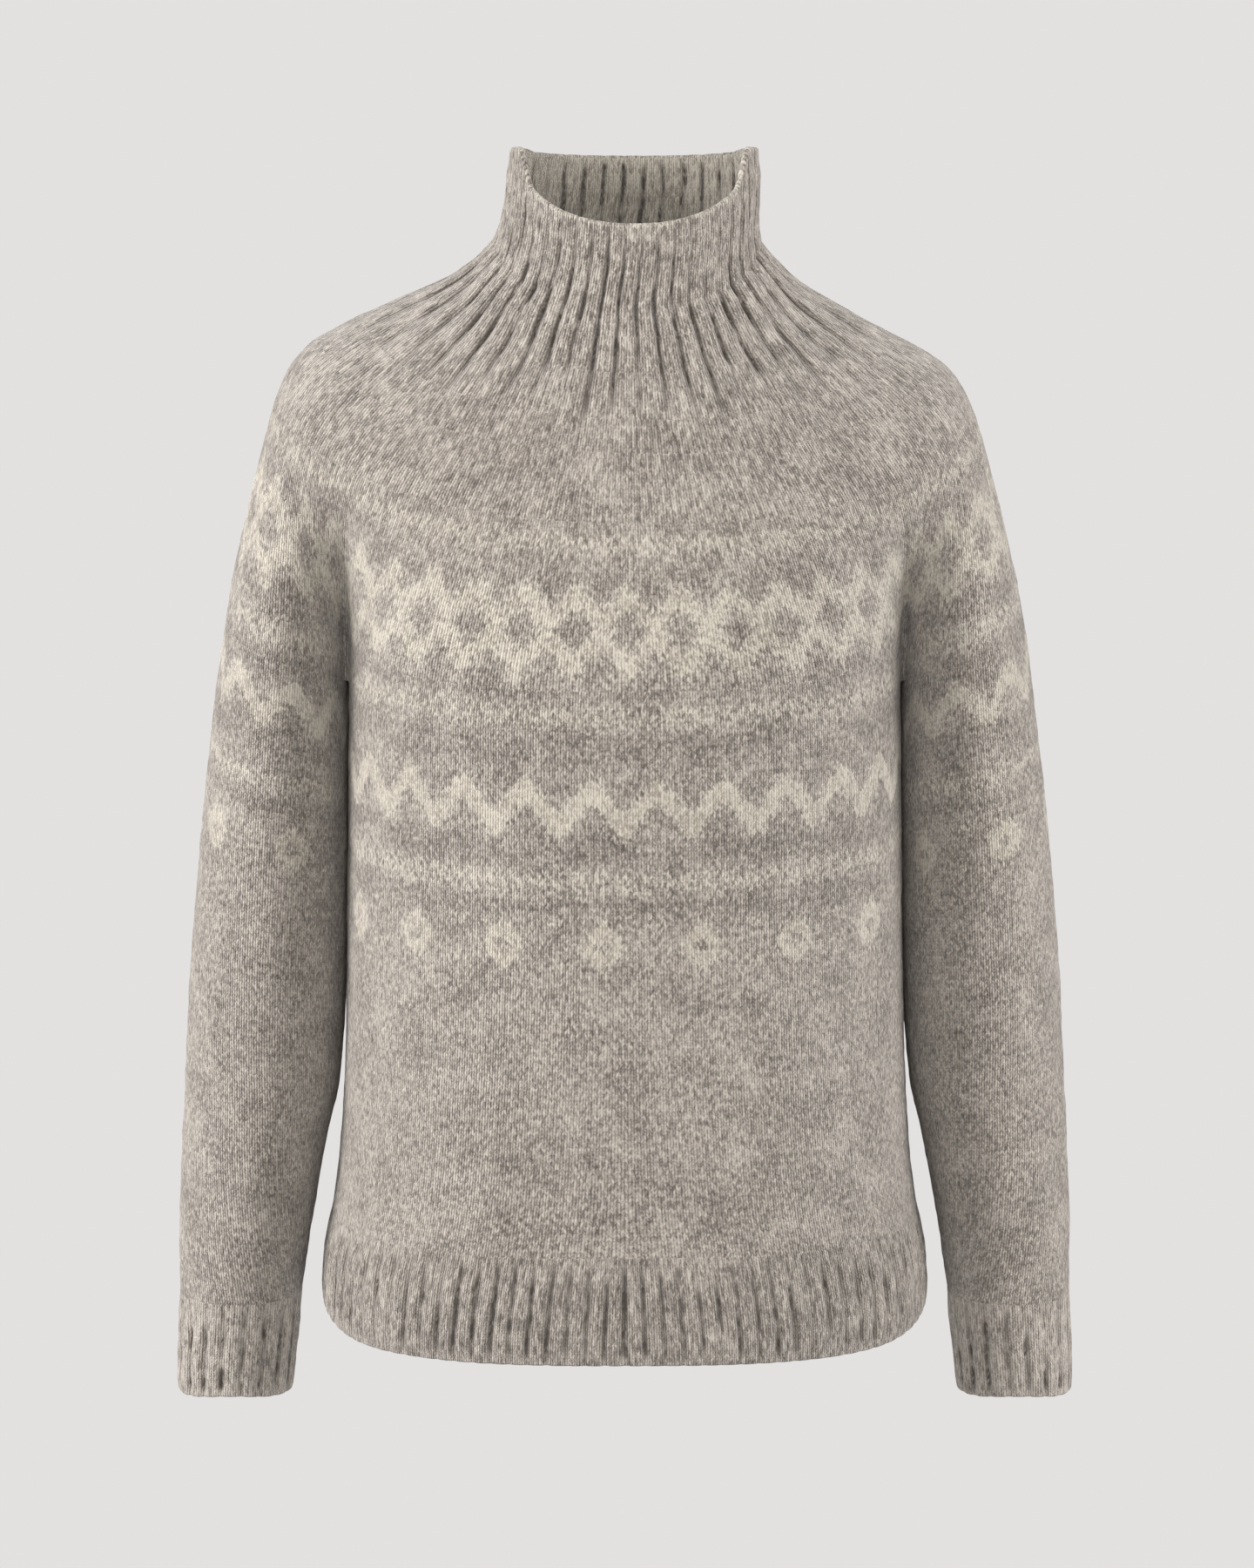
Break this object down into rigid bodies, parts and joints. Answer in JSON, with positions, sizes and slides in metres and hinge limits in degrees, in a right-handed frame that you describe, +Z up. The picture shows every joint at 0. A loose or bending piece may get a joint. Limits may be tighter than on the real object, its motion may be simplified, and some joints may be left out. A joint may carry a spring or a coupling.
{
  "type": "turtleneck sweater",
  "caption": "Knitted pullover with a ribbed funnel neck and a patterned round yoke, open and filled out in its worn shape.",
  "frame": {"origin": "on the body's centreline, level with the side of the neck's base, where the wearer's shoulders carry the garment", "axes": "+Z up, -Y is the way the front faces, +X is the wearer's left"},
  "size_m": [0.5214, 0.2506, 0.7099],
  "materials": {
    "knit": "soft brushed wool-blend stocking stitch, mottled oatmeal with cream yoke pattern",
    "rib": "soft wool-blend ribbing, mottled oatmeal"
  },
  "bodies": {
    "root": {"collar": "rib", "yoke": "knit", "body_front": "knit", "body_back": "knit", "sleeve_left": "knit", "sleeve_right": "knit", "hem_rib_front": "rib", "hem_rib_back": "rib", "cuff_left": "rib", "cuff_right": "rib"}
  },
  "joints": []
}
